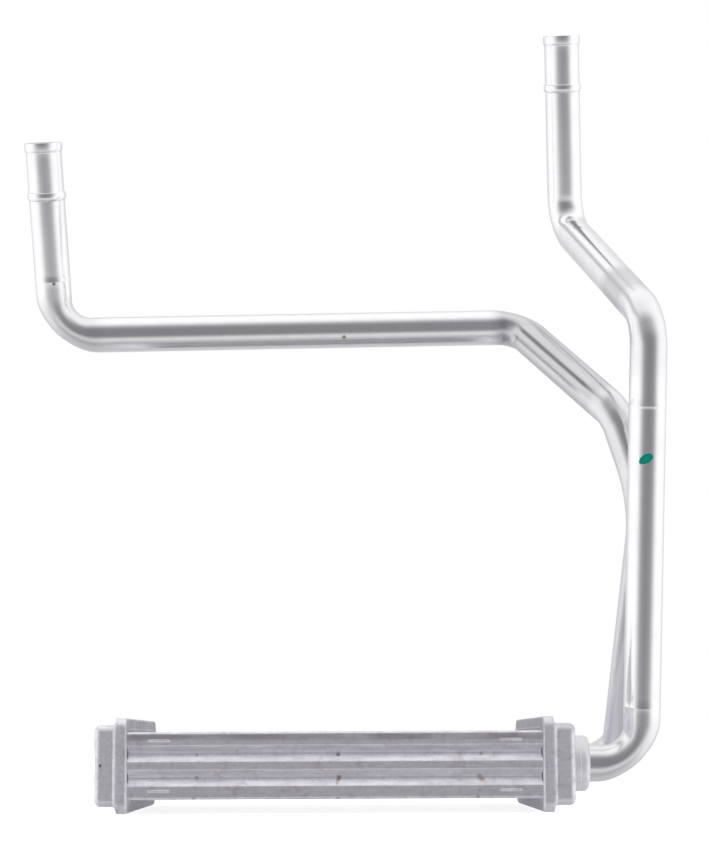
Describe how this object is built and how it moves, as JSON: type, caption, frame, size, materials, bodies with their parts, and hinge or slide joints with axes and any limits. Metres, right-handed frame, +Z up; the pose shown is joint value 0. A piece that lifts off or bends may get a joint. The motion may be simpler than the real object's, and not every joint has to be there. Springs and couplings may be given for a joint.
{
  "type": "heater core",
  "caption": "Brazed aluminium heater core: flat tube-and-fin matrix between two header plates and end tanks, with two long bent pipes that end in beaded hose ends.",
  "frame": {"origin": "bottom centre of the whole part's box, on the plane that both header plates stand on", "axes": "+X along the flat tubes from the left tank to the tank with the pipes, +Y across the stack of tubes and fins, away from the side that the picture shows, +Z up through the thickness of the core, the way the pipes rise"},
  "size_m": [0.336, 0.1966, 0.4221],
  "materials": {
    "plate_aluminium": "matte brazed sheet",
    "header_aluminium": "matte brazed sheet",
    "tank_aluminium": "satin drawn sheet",
    "boss_aluminium": "matte turned",
    "pipe_aluminium": "bright satin drawn tube",
    "tube_aluminium": "matte brazed sheet",
    "fin_aluminium": "satin foil"
  },
  "bodies": {
    "root": {"side_plate_front": "plate_aluminium", "side_plate_back": "plate_aluminium", "header_left": "header_aluminium", "header_right": "header_aluminium", "tank_left": "tank_aluminium", "tank_right": "tank_aluminium", "tank_baffle": "header_aluminium", "boss_a": "boss_aluminium", "boss_b": "boss_aluminium", "pipe_a": "pipe_aluminium", "pipe_b": "pipe_aluminium", "flat_tube_01": "tube_aluminium", "flat_tube_02": "tube_aluminium", "flat_tube_03": "tube_aluminium", "flat_tube_04": "tube_aluminium", "flat_tube_05": "tube_aluminium", "flat_tube_06": "tube_aluminium", "flat_tube_07": "tube_aluminium", "flat_tube_08": "tube_aluminium", "flat_tube_09": "tube_aluminium", "flat_tube_10": "tube_aluminium", "flat_tube_11": "tube_aluminium", "flat_tube_12": "tube_aluminium", "flat_tube_13": "tube_aluminium", "flat_tube_14": "tube_aluminium", "flat_tube_15": "tube_aluminium", "flat_tube_16": "tube_aluminium", "fin_strip_01": "fin_aluminium", "fin_strip_02": "fin_aluminium", "fin_strip_03": "fin_aluminium", "fin_strip_04": "fin_aluminium", "fin_strip_05": "fin_aluminium", "fin_strip_06": "fin_aluminium", "fin_strip_07": "fin_aluminium", "fin_strip_08": "fin_aluminium", "fin_strip_09": "fin_aluminium", "fin_strip_10": "fin_aluminium", "fin_strip_11": "fin_aluminium", "fin_strip_12": "fin_aluminium", "fin_strip_13": "fin_aluminium", "fin_strip_14": "fin_aluminium", "fin_strip_15": "fin_aluminium", "fin_strip_16": "fin_aluminium", "fin_strip_17": "fin_aluminium"}
  },
  "joints": []
}
